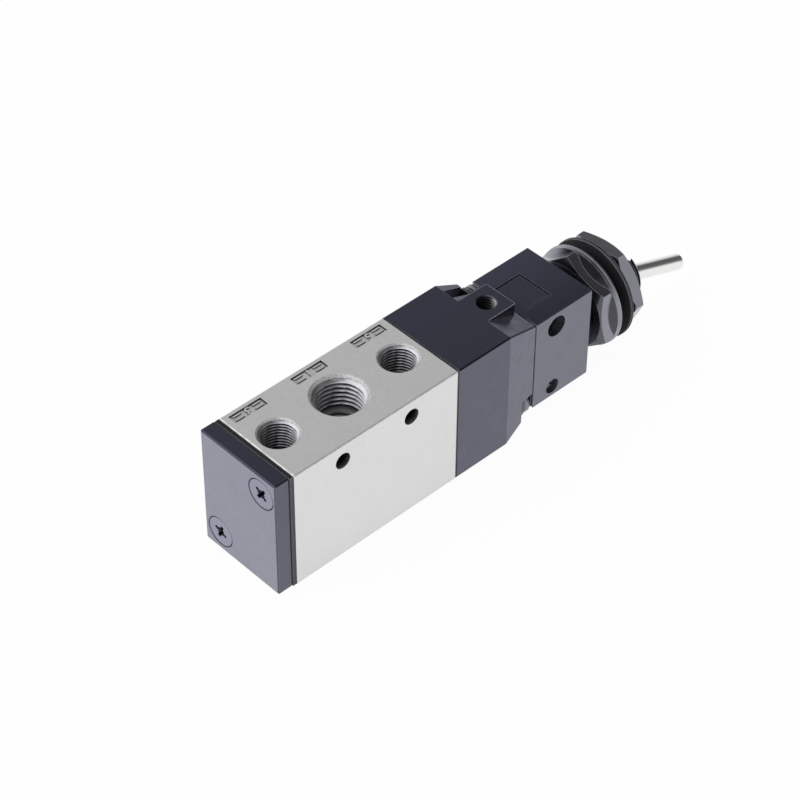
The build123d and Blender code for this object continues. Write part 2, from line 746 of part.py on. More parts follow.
with BuildPart() as pilot_poppet:
    turn(poppet_front, poppet_back, poppet_radius)
    turn(poppet_front - spring_nose_length, poppet_front, spring_nose_radius)
    turn(poppet_back - stem_seat, poppet_back, stem_radius + press_clearance, mode=Mode.SUBTRACT)
finish(pilot_poppet, "pilot_poppet")

with BuildPart() as pilot_spring:
    coil(adapter_end, poppet_front, pilot_coil_radius, pilot_wire_radius, pilot_turns)
finish(pilot_spring, "pilot_spring")

with BuildPart() as plunger_seal:
    seal_ring_end = spigot_start + seal_ring_thickness
    turn(spigot_start, seal_ring_end, seal_ring_radius, plunger_radius + running_clearance)
finish(plunger_seal, "plunger_seal")

# Spool: lands with seal grooves, and waists between them that let the air pass
seal_places = [
    spool_rest + sign * x for sign in (-1, 1) for x in (inner_seal_x, middle_seal_x, outer_seal_x)
]
groove_radius = land_radius - seal_depth
groove_half = (seal_width + running_clearance) / 2
land_half = seal_width / 2 + land_margin
with BuildPart() as spool:
    turn(spool_left, spool_right, land_radius)
    for sign in (-1, 1):
        waists = ((inner_seal_x, middle_seal_x), (middle_seal_x, outer_seal_x))
        for near, far in waists:
            ends = sorted((spool_rest + sign * (near + land_half), spool_rest + sign * (far - land_half)))
            turn(*ends, land_radius, waist_radius, mode=Mode.SUBTRACT)
    for x in seal_places:
        turn(x - groove_half, x + groove_half, land_radius, groove_radius, mode=Mode.SUBTRACT)
    turn(spool_left, spool_left + spool_pocket_depth, spring_pocket_radius, mode=Mode.SUBTRACT)
finish(spool, "spool")

with BuildPart() as spool_seals:
    for x in seal_places:
        seal_ring(x, seal_width, groove_radius + press_clearance, bore_radius - running_clearance)
finish(spool_seals, "spool_seals")

# Return spring: between the end cap's pocket and the spool's pocket
with BuildPart() as return_spring:
    spring_start = cap_inner - cap_pocket_depth
    spring_end = spool_left + spool_pocket_depth
    coil(spring_start, spring_end, return_coil_radius, return_wire_radius, return_turns)
finish(return_spring, "return_spring")

# Pilot piston: its boss pushes the spool, and its ring seals in the adapter's chamber
piston_seal_x = piston_front + piston_thickness / 2
piston_groove_radius = piston_radius - piston_seal_depth
with BuildPart() as pilot_piston:
    turn(spool_right, piston_front, piston_boss_radius)
    turn(piston_front, piston_back, piston_radius)
    half_groove = (piston_seal_width + running_clearance) / 2
    turn(
        piston_seal_x - half_groove,
        piston_seal_x + half_groove,
        piston_radius,
        piston_groove_radius,
        Mode.SUBTRACT,
    )
finish(pilot_piston, "pilot_piston")

with BuildPart() as piston_seal:
    seal_ring(
        piston_seal_x,
        piston_seal_width,
        piston_groove_radius + press_clearance,
        piston_chamber_radius - running_clearance,
    )
finish(piston_seal, "piston_seal")
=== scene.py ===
"""Looks of the hand lever air valve: finishes, cut threads, port numbers, studio and camera.

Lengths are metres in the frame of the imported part. +X points from the end cap to the lever, +Z up
through the three upper ports, and -Y is the side with the pilot's cross screw and slotted pin.
"""

import json
import math

import bmesh
import bpy
from mathutils import Matrix, Vector


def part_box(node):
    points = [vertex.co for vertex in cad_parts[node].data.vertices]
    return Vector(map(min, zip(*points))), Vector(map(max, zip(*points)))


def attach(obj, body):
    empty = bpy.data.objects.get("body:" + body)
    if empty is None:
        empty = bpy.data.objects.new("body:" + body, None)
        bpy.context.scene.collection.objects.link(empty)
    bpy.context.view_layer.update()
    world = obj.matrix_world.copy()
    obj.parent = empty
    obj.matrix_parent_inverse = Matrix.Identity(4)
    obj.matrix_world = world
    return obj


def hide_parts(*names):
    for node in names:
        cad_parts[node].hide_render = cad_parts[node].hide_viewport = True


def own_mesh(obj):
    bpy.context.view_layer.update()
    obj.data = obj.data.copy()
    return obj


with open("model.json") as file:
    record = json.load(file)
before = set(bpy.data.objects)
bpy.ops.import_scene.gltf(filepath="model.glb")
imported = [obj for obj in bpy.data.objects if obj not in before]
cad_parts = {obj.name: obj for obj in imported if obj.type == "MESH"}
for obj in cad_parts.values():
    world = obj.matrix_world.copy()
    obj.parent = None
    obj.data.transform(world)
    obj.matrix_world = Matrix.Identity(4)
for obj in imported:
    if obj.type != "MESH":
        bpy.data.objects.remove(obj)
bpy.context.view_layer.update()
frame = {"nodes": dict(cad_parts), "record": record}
NODES = frame["nodes"]
MOUNTS = {mount["name"]: mount for mount in frame["record"]["mounts"]}
JOINTS = {joint["name"]: joint for joint in frame["record"]["behaviour"]["joints"]}
MM = 0.001

# Cut threads: their pitches, the depths of their grooves as shares of the pitch, and the share of the
# pitch for which crest and root are each flat
PIPE_QUARTER_PITCH = 1.337 * MM
PIPE_EIGHTH_PITCH = 0.907 * MM
PORT_M5_PITCH = 0.8 * MM
PANEL_PITCH = 1.0 * MM
PIPE_DEPTH = 0.64
METRIC_DEPTH = 0.541
OUTER_DEPTH = 0.613
THREAD_FLAT = 0.12

# A port's thread lies this far inside the port's plain wall
LINER_GAP = 0.02 * MM

# How finely round things are divided
THREAD_SIDES = 128
STEPS_PER_PITCH = 12
ROD_SIDES = 48

# Edges that are sharper than this many degrees stay crisp
RELIEF_CREASE = 40
BUSHING_CREASE = 30

# Port numbers, raised inside the sunk fields on top of the body, each between two pairs of bars
PORT_NUMBERS = {"exhaust_port_1": "3", "supply_port": "1", "exhaust_port_2": "5"}
FIELD_Y = 10.35 * MM
FIELD_DEPTH = 0.35 * MM
NUMBER_HEIGHT = 2.4 * MM
HEIGHT_PER_FONT_SIZE = 0.7
NUMBER_RISE = 0.3 * MM
NUMBER_EDGE = 0.05 * MM
BAR_LENGTH = 2.4 * MM
BAR_WIDTH = 0.45 * MM
BAR_OFFSET = 2.9 * MM
BAR_SPREAD = 0.65 * MM

# The bushing's sizes that the frame doesn't state
SPIGOT_LENGTH = 6.0 * MM
SPIGOT_RADIUS = 6.0 * MM
GUIDE_LENGTH = 11.5 * MM
GUIDE_RADIUS = 2.55 * MM
ROOM_RADIUS = 5.6 * MM
MOUTH_SLOT_WIDTH = 8.2 * MM
MOUTH_SLOT_DEPTH = 4.7 * MM
MOUTH_CHAMFER = 0.6 * MM
PIN_HOLE_RADIUS = 1.27 * MM

# Places at which a finish changes: the body's rim next to the end cap, the start of the adapter's
# sloped part, the raised boss on that part, its near wall, and the strip round its port
BODY_END_RIM = -25.05 * MM
RAMP_START = 42.85 * MM
BOSS_START = 43.5 * MM
BOSS_FOOT = 34.6 * MM
BOSS_SIDE = 5.5 * MM
BOSS_WALL_REACH = 1.0 * MM
BOSS_PORT_END = 50.9 * MM
BOSS_PORT_SIDE = 3.3 * MM

# The lying faces' painted sheen and shade change evenly over this far to either side of the axis
TOP_FALL_SIDE = 11 * MM

# Directions that surfaces look in. The photograph shows the near side.
UP = (0, 0, 1)
NEAR = (0, -1, 0)
FAR = (0, 1, 0)
CAP_END = (-1, 0, 0)
NEAR_TOP_EDGE = (0, -0.707, 0.707)

# The same for the upper part of the inner nut's cone, and for the ports' walls and mouths on the side
# that the lamp leaves dark
CONE_TOP = (-0.66, -0.1, 0.74)
WALL_LEE = (0.76, -0.65, 0.0)
WALL_LIT = tuple(-value for value in WALL_LEE)
CHAMFER_LEE = (0.54, -0.46, 0.7)

# Cosines between which a surface starts to look in a direction and does so squarely
SQUARELY = (0.9, 0.99)

# Cosines between an edge and its rounded stand-in, where its mask starts and where it is full
EDGE_LIMITS = (0.995, 0.86)

# Most of a noise texture's values lie between these
NOISE_LIMITS = (0.3, 0.7)

# Samples of the masks that look round a point
EDGE_SAMPLES = 6
OPENNESS_SAMPLES = 8

# Colours of the finishes
WHITE = (1, 1, 1, 1)
COOL_TINT = (0.97, 0.985, 1.12)
ANODISED_SIDE = (0.113, 0.117, 0.156, 1)
ANODISED_PILOT_SIDE = (0.153, 0.157, 0.19, 1)
# The anodised end's colour is a painted sheen, and the top's colour a painted shade
ANODISED_END_SHEEN = (0.262, 0.272, 0.335, 1)
ANODISED_SHADED_TOP = (0.086, 0.093, 0.135)
ANODISED_SCUFF = (0.15, 0.155, 0.185, 1)
CAP_SCREW_TONE = (0.265, 0.272, 0.35, 1)
FLOOR_TONE = (0.82, 0.82, 0.82, 1)

# Bare scratched edges scatter light, so they are only this metallic
BARE_METALLIC = 0.1

# Camera, from the vanishing lines of the photographed body; lens and sensor are in millimetres
CAMERA_PLACE = Vector((-0.29717, -0.33352, 0.45071))
CAMERA_HEADING = math.radians(43.498)
CAMERA_ELEVATION = math.radians(43.058)
CAMERA_ROLL = math.radians(0.3685)
CAMERA_LENS = 119.35
CAMERA_SENSOR = 36.0
CAMERA_CLIP = (0.01, 20.0)

# Floor: its half width, how far it lies below the part, and its share of plain white to the camera
FLOOR_HALF = 3.0
FLOOR_DROP = 0.02 * MM
WHITE_SHARE = 0.96

# World: each region that mirrors show has the limits between which it fades in, and its share of
# white. Matt surfaces get the ambient share from all sides.
CEILING_LIMITS = (0.12, 0.55)
CEILING = 0.26
ZENITH_LIMITS = (0.74, 0.9)
ZENITH = 0.05
CARD_SIDE = (0.9, -0.12, 0.41)
CARD_LIMITS = (0.8, 0.96)
CARD = 0.2
GLOW_LIMITS = (-0.15, -0.5)
GLOW = 0.8
AMBIENT = 0.6

# Square lamps that look at the target: name, place, side in metres and power in watts
LAMP_TARGET = Vector((0.03, 0, 0.02))
LAMPS = (
    ("key", Vector((-0.6, 0.35, 0.75)), 1.0, 8.0),
    ("side", Vector((0.3, -0.7, 0.4)), 0.7, 1.5),
)


class Nodes:
    """A node tree, with short calls for the nodes that the finishes and the studio share."""

    def __init__(self, tree):
        self.tree = tree

    def node(self, kind, **inputs):
        """A new node. In the names of its inputs, underscores stand for spaces."""
        made = self.tree.nodes.new(kind)
        for socket, value in inputs.items():
            self.feed(made.inputs[socket.replace("_", " ")], value)
        return made

    def feed(self, socket, value):
        """Link a socket to the socket that its value comes from, or set it to a plain value."""
        if isinstance(value, bpy.types.NodeSocket):
            self.tree.links.new(value, socket)
        else:
            socket.default_value = value

    def spread(self, value, limits, results=(0.0, 1.0), ramp="LINEAR"):
        """The value between its limits, spread evenly or on another ramp between the results."""
        made = self.node(
            "ShaderNodeMapRange",
            Value=value,
            From_Min=limits[0],
            From_Max=limits[1],
            To_Min=results[0],
            To_Max=results[1],
        )
        made.interpolation_type = ramp
        return made.outputs["Result"]

    def calculate(self, operation, first, *others):
        """The first value joined to the others one by one, kept between 0 and 1 each time."""
        for other in others:
            made = self.tree.nodes.new("ShaderNodeMath")
            made.operation = operation
            made.use_clamp = True
            self.feed(made.inputs[0], first)
            self.feed(made.inputs[1], other)
            first = made.outputs["Value"]
        return first

    def all_of(self, *masks):
        return self.calculate("MULTIPLY", *masks)

    def any_of(self, *masks):
        return self.calculate("MAXIMUM", *masks)

    def without(self, mask, *others):
        return self.calculate("SUBTRACT", mask, *others)

    def blend(self, share, first, second, kind="RGBA"):
        """The first value where the share is 0, and the second where it is 1."""
        made = self.tree.nodes.new("ShaderNodeMix")
        made.data_type = kind
        sockets = [socket for socket in made.inputs if socket.enabled]
        for socket, value in zip(sockets, (share, first, second)):
            self.feed(socket, value)
        return [socket for socket in made.outputs if socket.enabled][0]

    def cosine(self, direction, axis):
        """The cosine of the angle between two directions."""
        made = self.tree.nodes.new("ShaderNodeVectorMath")
        made.operation = "DOT_PRODUCT"
        self.feed(made.inputs[0], direction)
        self.feed(made.inputs[1], axis)
        return made.outputs["Value"]


class Finish(Nodes):
    """One material, with masks for the places where its tone changes."""

    def __init__(self, name, metallic, roughness, **sockets):
        self.material = bpy.data.materials.new(name)
        self.material.use_nodes = True
        super().__init__(self.material.node_tree)
        self.shader = self.tree.nodes["Principled BSDF"]
        self.shader.inputs["Metallic"].default_value = metallic
        self.shader.inputs["Roughness"].default_value = roughness
        for socket, value in sockets.items():
            self.shader.inputs[socket.replace("_", " ")].default_value = value
        self.place = self.node("ShaderNodeTexCoord").outputs["Object"]

    def noise(self, size, detail=3.0, stretch=(1, 1, 1)):
        """Noise with features of about that size, drawn out along an axis where stretch is small."""
        stretched = self.node("ShaderNodeMapping", Vector=self.place, Scale=stretch).outputs["Vector"]
        made = self.node("ShaderNodeTexNoise", Vector=stretched, Scale=1 / size, Detail=detail)
        return made.outputs["Fac"]

    def edges(self, width, limits=EDGE_LIMITS):
        """A mask that is 1 on convex and concave edges and fades out over about the width."""
        soft = self.node("ShaderNodeBevel", Radius=width)
        soft.samples = EDGE_SAMPLES
        flat = self.node("ShaderNodeNewGeometry").outputs["Normal"]
        return self.spread(self.cosine(soft.outputs["Normal"], flat), limits)

    def facing(self, axis, limits=SQUARELY):
        """A mask that is 1 where the surface looks along the axis, and rises between two cosines."""
        normal = self.node("ShaderNodeTexCoord").outputs["Normal"]
        return self.spread(self.cosine(normal, axis), limits)

    def slanting(self, axis, rising, falling):
        """A mask that is 1 where the surface leans towards the axis, but doesn't look along it."""
        return self.without(self.facing(axis, rising), self.facing(axis, falling))

    def coordinate(self, axis):
        """The object's own coordinate."""
        return self.node("ShaderNodeSeparateXYZ", Vector=self.place).outputs[axis]

    def beyond(self, axis, limit):
        """A mask that is 1 where the coordinate is past the limit."""
        return self.calculate("GREATER_THAN", self.coordinate(axis), limit)

    def between(self, axis, low, high):
        """A mask that is 1 where the coordinate is past the low limit but not past the high one."""
        return self.without(self.beyond(axis, low), self.beyond(axis, high))

    def openness(self, reach, limits, darkest, own=False):
        """A factor that is 1 on open surfaces, and the darkest value where the reach is closed in.

        The limits are shares of open sky. With own, only the object itself closes its surfaces in.
        """
        made = self.node("ShaderNodeAmbientOcclusion", Distance=reach)
        made.samples = OPENNESS_SAMPLES
        made.only_local = own
        return self.spread(made.outputs["AO"], limits, (darkest, 1.0))

    def factor(self, mask, share):
        """A factor that is 1 where the mask is 0, and the share where it is 1."""
        return self.spread(mask, (0, 1), (1.0, share))

    def shade(self, tone, *factors):
        """The tone times each factor."""
        for factor in factors:
            made = self.tree.nodes.new("ShaderNodeVectorMath")
            made.operation = "SCALE"
            self.feed(made.inputs[0], tone)
            self.feed(made.inputs["Scale"], factor)
            tone = made.outputs["Vector"]
        return tone

    def colour(self, value):
        self.feed(self.shader.inputs["Base Color"], value)

    def roughness(self, value):
        self.feed(self.shader.inputs["Roughness"], value)

    def matt_where(self, mask):
        """Take the metal's mirror away where the mask is 1."""
        metallic = self.shader.inputs["Metallic"]
        self.feed(metallic, self.spread(mask, (0, 1), (metallic.default_value, BARE_METALLIC)))

    def bump(self, *layers):
        """Bump from (height, depth) pairs, each depth in metres."""
        normal = None
        for height, depth in layers:
            made = self.node("ShaderNodeBump", Height=height, Distance=depth)
            if normal is not None:
                self.feed(made.inputs["Normal"], normal)
            normal = made.outputs["Normal"]
        self.feed(self.shader.inputs["Normal"], normal)


def grey(level, warm=0.0):
    """An opaque grey, warmer by the share."""
    return (level * (1 + warm), level, level * (1 - warm), 1.0)


def cool(level):
    """A slightly blue grey, as of anodised metal under a studio lamp."""
    return (*[share * level for share in COOL_TINT], 1.0)


def scaled(colour, factor):
    """The opaque colour, lighter or darker by the factor."""
    return (*[factor * value for value in colour[:3]], 1.0)


def satin_aluminium():
    """Satin body metal with painted shade in its holes, corners and near faces, an end rim with wear in
    patches that carry a painted highlight, and rough cut chamfers at the ports.
    """
    finish = Finish("satin_aluminium", metallic=0.6, roughness=0.4)
    cloud = finish.noise(9 * MM, detail=4.0)
    grain = finish.noise(0.22 * MM, detail=2.0)
    tone = finish.blend(cloud, grey(0.81, warm=0.002), grey(0.87, warm=0.004))
    speck = finish.spread(finish.noise(0.7 * MM, detail=1.0), (0.74, 0.8), (0.0, 0.4))
    tone = finish.blend(speck, tone, grey(0.4))

    # The top is faintly mottled, and the chamfers round the ports' mouths are dappled
    mottled = finish.spread(finish.noise(1.1 * MM, detail=4.0), (0.35, 0.65))
    mottle = finish.factor(finish.all_of(mottled, finish.facing(UP)), share=0.955)
    mouth = finish.slanting(UP, rising=(0.5, 0.6), falling=(0.8, 0.9))
    dappled = finish.spread(finish.noise(0.45 * MM, detail=2.0), (0.4, 0.6))
    dapple = finish.factor(finish.all_of(mouth, dappled), share=0.72)
    # Painted shade: on the port chamfers' side away from the lamp, on the long near side, along the near
    # top edge, far down in holes and in corners
    lee_shade = finish.factor(finish.facing(CHAMFER_LEE, (0.85, 0.98)), share=0.78)
    shaded_long_side = finish.factor(finish.facing(NEAR), share=0.94)
    shaded_top_edge = finish.factor(finish.facing(NEAR_TOP_EDGE, (0.8, 0.97)), share=0.86)
    hollow_shade = finish.openness(5 * MM, (0.4, 0.85), darkest=0.015, own=True)
    nook_shade = finish.openness(0.5 * MM, (0.55, 0.98), darkest=0.22)
    tone = finish.shade(tone, mottle, shaded_long_side, shaded_top_edge, hollow_shade, nook_shade, lee_shade, dapple)

    # The end rim has wear in patches, and these patches get a painted highlight of plain white
    end_rim = finish.without(finish.facing(UP, (0.3, 0.9)), finish.beyond("X", BODY_END_RIM))
    wear = finish.spread(finish.noise(1.5 * MM), (0.4, 0.6), (0.35, 0.9))
    worn_and_highlit = finish.all_of(end_rim, wear)
    finish.colour(finish.blend(worn_and_highlit, tone, WHITE))
    finish.matt_where(worn_and_highlit)
    finish.roughness(finish.spread(grain, (0.25, 0.75), (0.36, 0.5)))
    finish.bump((cloud, 0.02 * MM), (grain, 0.006 * MM))
    return finish.material


def turned_aluminium(name, level, reach, groove_reach, unlit=1.0):
    """Cut walls of ports with fine rings: bright where they face the lamp, dark on the other side.

    The reaches say how far the port and its grooves shade themselves, and walls that don't face the
    lamp keep the unlit share of their tone.
    """
    finish = Finish(name, metallic=0.9, roughness=0.28)
    rings = finish.noise(0.12 * MM, detail=2.0, stretch=(0.03, 0.03, 1))
    tone = finish.blend(rings, cool(0.8 * level), grey(level))
    lee_shade = finish.factor(finish.facing(WALL_LEE, (0.0, 0.7)), share=0.45)
    hollow_shade = finish.openness(reach, (0.08, 0.62), darkest=0.03)
    groove = finish.openness(groove_reach, (0.5, 0.92), darkest=0.05)
    aside = finish.spread(finish.facing(WALL_LIT, (0.35, 0.75)), (0, 1), (unlit, 1.0))
    finish.colour(finish.shade(tone, lee_shade, hollow_shade, groove, aside))
    finish.matt_where(finish.spread(finish.facing(WALL_LIT, (0.1, 0.7)), (0, 1), (0.0, 0.7)))
    finish.roughness(finish.spread(rings, NOISE_LIMITS, (0.28, 0.4)))
    finish.bump((rings, 0.006 * MM))
    return finish.material


def black_anodised(name, side, depth_tone, top_sheen_share):
    """Black anodised blocks: upright faces have the side's colour, the end a painted sheen and lying faces
    a painted shade.

    The depth tone is the share of the tone that is left far down in holes, as painted shade. The top sheen
    share is how much lighter the lying faces are painted at the far side, and darker at the near side, as a
    share of their tone.
    """
    finish = Finish(name, metallic=0.8, roughness=0.3)
    cloud = finish.noise(7 * MM)
    grain = finish.noise(0.15 * MM, detail=2.0)
    scuff = finish.noise(1.6 * MM, detail=6.0, stretch=(1, 1, 0.3))
    tone = finish.blend(cloud, side, scaled(side, 0.88))
    tone = finish.blend(finish.spread(scuff, (0.62, 0.72), (0.0, 0.3)), tone, ANODISED_SCUFF)
    # Painted sheen on the end that looks to -X, and painted shade on lying faces that lightens into a
    # painted sheen towards the far side
    tone = finish.blend(finish.facing(CAP_END), tone, ANODISED_END_SHEEN)
    fall_limits = (-TOP_FALL_SIDE, TOP_FALL_SIDE)
    sheen_across_top = finish.spread(finish.coordinate("Y"), fall_limits, (1 - top_sheen_share, 1 + top_sheen_share))
    tone = finish.blend(finish.facing(UP), tone, finish.shade(ANODISED_SHADED_TOP, sheen_across_top))

    # Edges are rubbed to the metal and carry a painted highlight all along the boss, apart from its port,
    # and in patches elsewhere
    on_boss = finish.all_of(
        finish.beyond("X", BOSS_START),
        finish.beyond("Z", BOSS_FOOT),
        finish.between("Y", -BOSS_SIDE, BOSS_SIDE),
    )
    port_strip = finish.between("Y", -BOSS_PORT_SIDE, BOSS_PORT_SIDE)
    by_port = finish.without(port_strip, finish.beyond("X", BOSS_PORT_END))
    boss_edges = finish.all_of(finish.edges(0.3 * MM), finish.without(on_boss, by_port))
    other_edges = finish.all_of(finish.edges(0.2 * MM), finish.spread(cloud, (0.35, 0.6), (0.15, 0.6)))
    worn_and_highlit = finish.any_of(other_edges, boss_edges)

    # Painted shadow on the boss's near wall, painted shine on near faces past the slope's start, and
    # painted shade along near top edges, far down in holes and in corners
    boss_wall = finish.all_of(
        finish.facing(NEAR),
        finish.beyond("X", BOSS_START),
        finish.between("Y", -BOSS_SIDE - BOSS_WALL_REACH, -BOSS_SIDE + BOSS_WALL_REACH),
    )
    shadow = finish.factor(boss_wall, share=0.2)
    past_start = finish.all_of(finish.facing(NEAR, (0.8, 0.95)), finish.beyond("X", RAMP_START))
    shine = finish.factor(past_start, share=1.2)
    shaded_top_edge = finish.factor(finish.facing(NEAR_TOP_EDGE, (0.85, 0.97)), share=0.12)
    open_sky = finish.openness(4 * MM, (0.4, 0.85), darkest=0.0, own=True)
    hollow_shade = finish.spread(open_sky, (0, 1), (depth_tone, 1.0))
    nook_shade = finish.openness(0.6 * MM, (0.5, 0.92), darkest=0.12)
    tone = finish.shade(tone, shaded_top_edge, hollow_shade, nook_shade, shadow, shine)

    finish.colour(finish.blend(worn_and_highlit, tone, cool(0.42)))
    finish.matt_where(finish.any_of(worn_and_highlit, finish.factor(open_sky, share=0.0)))
    finish.roughness(finish.spread(finish.noise(3 * MM, detail=5.0), NOISE_LIMITS, (0.24, 0.36)))
    finish.bump((cloud, 0.015 * MM), (grain, 0.002 * MM))
    return finish.material


def black_nut_metal(name, level, cone_shade=1.0, cone_top_shade=1.0):
    """Glossy black metal with rubbed edges that carry a painted highlight and with painted shade in
    hollows; conical faces that look to -X and not to +Y take the two factors of painted shade.
    """
    finish = Finish(name, metallic=0.95, roughness=0.2)
    cloud = finish.noise(3 * MM)
    rings = finish.noise(0.1 * MM, detail=2.0, stretch=(1, 0.03, 0.03))
    tone = finish.blend(cloud, cool(level), cool(1.2 * level))
    # Edges that are rubbed in patches get a painted highlight
    rims = finish.edges(0.3 * MM, (0.998, 0.965))
    worn_and_highlit = finish.all_of(rims, finish.spread(cloud, (0.3, 0.6), (0.3, 0.7)))
    # Painted shade in hollows and corners
    hollow_shade = finish.openness(4 * MM, (0.2, 0.7), darkest=0.3)
    nook_shade = finish.openness(0.6 * MM, (0.4, 0.9), darkest=0.3)
    # Painted shade on the conical faces, which holds back their bright reflections
    cone = finish.slanting(CAP_END, rising=(0.5, 0.62), falling=(0.85, 0.95))
    cone = finish.without(cone, finish.facing(FAR, (0.2, 0.4)))
    on_cone = finish.factor(cone, cone_shade)
    on_cone_top = finish.factor(finish.facing(CONE_TOP, (0.85, 0.95)), cone_top_shade)
    tone = finish.shade(tone, hollow_shade, nook_shade, on_cone, on_cone_top)
    finish.colour(finish.blend(worn_and_highlit, tone, cool(0.3)))
    finish.matt_where(worn_and_highlit)
    finish.roughness(finish.spread(rings, NOISE_LIMITS, (0.14, 0.24)))
    finish.bump((cloud, 0.01 * MM), (rings, 0.003 * MM))
    return finish.material


def black_screw_steel(name, tone, band_glint, worn_and_highlit, closed_in):
    """Dark screws, with the share of lighter bands along X that stand in for knurls and spring washers,
    painted as their glints.

    The wear share is how far their edges are rubbed to the metal and lit with a painted highlight, and
    closed_in the share of the tone that is left in hollows as painted shade.
    """
    finish = Finish(name, metallic=0.9, roughness=0.34)
    cloud = finish.noise(1.2 * MM, detail=4.0)
    tone = finish.blend(cloud, tone, scaled(tone, 1.2))
    # Edges and the bands along X get painted highlights, and hollows painted shade
    rims = finish.spread(finish.edges(0.25 * MM, (0.99, 0.9)), (0, 1), (0, worn_and_highlit))
    stripes = finish.noise(0.6 * MM, detail=0.0, stretch=(1, 0.02, 0.02))
    bare_and_glinting = finish.any_of(rims, finish.spread(stripes, (0.48, 0.56), (0.0, band_glint)))
    hollow_shade = finish.openness(2 * MM, (0.3, 0.75), darkest=closed_in)
    nook_shade = finish.openness(0.8 * MM, (0.6, 0.97), darkest=closed_in)
    finish.colour(finish.blend(bare_and_glinting, finish.shade(tone, hollow_shade, nook_shade), cool(0.4)))
    finish.matt_where(bare_and_glinting)
    finish.roughness(finish.spread(cloud, NOISE_LIMITS, (0.28, 0.42)))
    finish.bump((finish.noise(0.12 * MM, detail=2.0), 0.004 * MM))
    return finish.material


def black_rubber(name, level, rim_highlight_level):
    """Sheet rubber, with painted shade where it lies flat and a painted highlight on its rims."""
    finish = Finish(name, metallic=0.0, roughness=0.6, Specular_IOR_Level=0.25)
    grain = finish.noise(0.1 * MM)
    tone = finish.blend(finish.noise(2 * MM), cool(0.85 * level), cool(1.15 * level))
    # Painted shade on lying faces, and a painted highlight on the rims
    tone = finish.blend(finish.facing(UP), tone, cool(0.2 * level))
    rims = finish.edges(0.35 * MM, (0.99, 0.86))
    finish.colour(finish.blend(rims, tone, cool(rim_highlight_level)))
    finish.roughness(finish.spread(grain, NOISE_LIMITS, (0.5, 0.7)))
    finish.bump((grain, 0.008 * MM))
    return finish.material


def polished_steel():
    """The lever's steel, with fine streaks along X."""
    finish = Finish("polished_steel", metallic=1.0, roughness=0.14)
    streak = finish.noise(0.08 * MM, stretch=(0.05, 1, 1))
    finish.colour(finish.blend(streak, grey(0.78, warm=0.006), grey(0.87, warm=0.006)))
    finish.roughness(finish.spread(finish.noise(1.5 * MM, detail=4.0), NOISE_LIMITS, (0.11, 0.18)))
    finish.bump((streak, 0.0015 * MM))
    return finish.material


def turned_steel(name, metallic):
    """Steel of pins, springs and the plunger, streaked along Y."""
    finish = Finish(name, metallic, roughness=0.3)
    streak = finish.noise(0.1 * MM, stretch=(1, 0.1, 1))
    finish.colour(finish.blend(streak, grey(0.42), grey(0.6)))
    finish.roughness(finish.spread(streak, NOISE_LIMITS, (0.25, 0.4)))
    finish.bump((streak, 0.004 * MM))
    return finish.material


def moulded_resin():
    """The white resin of the pilot's piston."""
    finish = Finish("moulded_resin", metallic=0.0, roughness=0.45)
    grain = finish.noise(0.3 * MM)
    finish.colour(finish.blend(grain, grey(0.62, warm=0.03), grey(0.7, warm=0.03)))
    finish.bump((grain, 0.004 * MM))
    return finish.material


def coat(mesh, finish):
    """Give a mesh the finish, in place of what it had."""
    mesh.materials.clear()
    mesh.materials.append(finish)


def dress(finish, *names):
    """Give CAD nodes a finish."""
    for name in names:
        coat(NODES[name].data, finish)


def new_object(name, data):
    """An object of the scene that shows the data."""
    made = bpy.data.objects.new(name, data)
    bpy.context.scene.collection.objects.link(made)
    return made


def faced_object(name, points, faces):
    """An object from points and faces."""
    mesh = bpy.data.meshes.new(name)
    mesh.from_pydata(points, [], faces)
    mesh.validate()
    return new_object(name, mesh)


def add_to_housing(piece, finish):
    """Make an object a piece of the part that stays with the housing."""
    coat(piece.data, finish)
    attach(piece, "housing")


def evaluated_mesh(piece):
    """A mesh of the piece as it shows: text as a solid, and modifiers applied."""
    graph = bpy.context.evaluated_depsgraph_get()
    return bpy.data.meshes.new_from_object(piece.evaluated_get(graph))


def smooth(mesh, crease):
    """Smooth shading, with edges sharper than the crease in degrees kept crisp."""
    for face in mesh.polygons:
        face.use_smooth = True
    mesh.set_sharp_from_angle(angle=math.radians(crease))


def thread_wave(turns):
    """The depth of a thread's groove, from 0 at its crest to 1 at its root, for a place in turns."""
    rise = abs(2 * (turns % 1) - 1)
    return min(1, max(0, (rise - THREAD_FLAT) / (1 - 2 * THREAD_FLAT)))


def ring_grid(rings, closed=False):
    """Faces that join neighbouring rings of THREAD_SIDES points each."""
    faces = []
    count = rings if closed else rings - 1
    for ring in range(count):
        for side in range(THREAD_SIDES):
            after = (side + 1) % THREAD_SIDES
            here = ring * THREAD_SIDES
            there = (ring + 1) % rings * THREAD_SIDES
            faces.append((here + side, here + after, there + after, there + side))
    return faces


def port_thread(name, pitch, depth_share, finish):
    """A cut thread inside a port: its grooves reach the port's wall, and it runs out at the mouth."""
    mount = MOUNTS[name]
    wall = mount["dims"]["r_mm"] * MM - LINER_GAP
    length = mount["dims"]["length_mm"] * MM
    axis = Vector(mount["axis"])
    mouth = Vector(mount["pos_m"]) + axis * length / 2
    across = Vector((1, 0, 0))
    along = axis.cross(across)
    crest = wall - depth_share * pitch
    rings = int(length / pitch * STEPS_PER_PITCH)
    points = []
    for ring in range(rings + 1):
        depth = length * ring / rings
        for side in range(THREAD_SIDES):
            turn = side / THREAD_SIDES
            groove = thread_wave(depth / pitch - turn)
            radius = max(crest + (wall - crest) * groove, wall - depth)
            angle = 2 * math.pi * turn
            out = across * math.cos(angle) + along * math.sin(angle)
            points.append(mouth - axis * depth + out * radius)
    piece = faced_object(name + "_thread", points, ring_grid(rings + 1))
    smooth(piece.data, RELIEF_CREASE)
    add_to_housing(piece, finish)


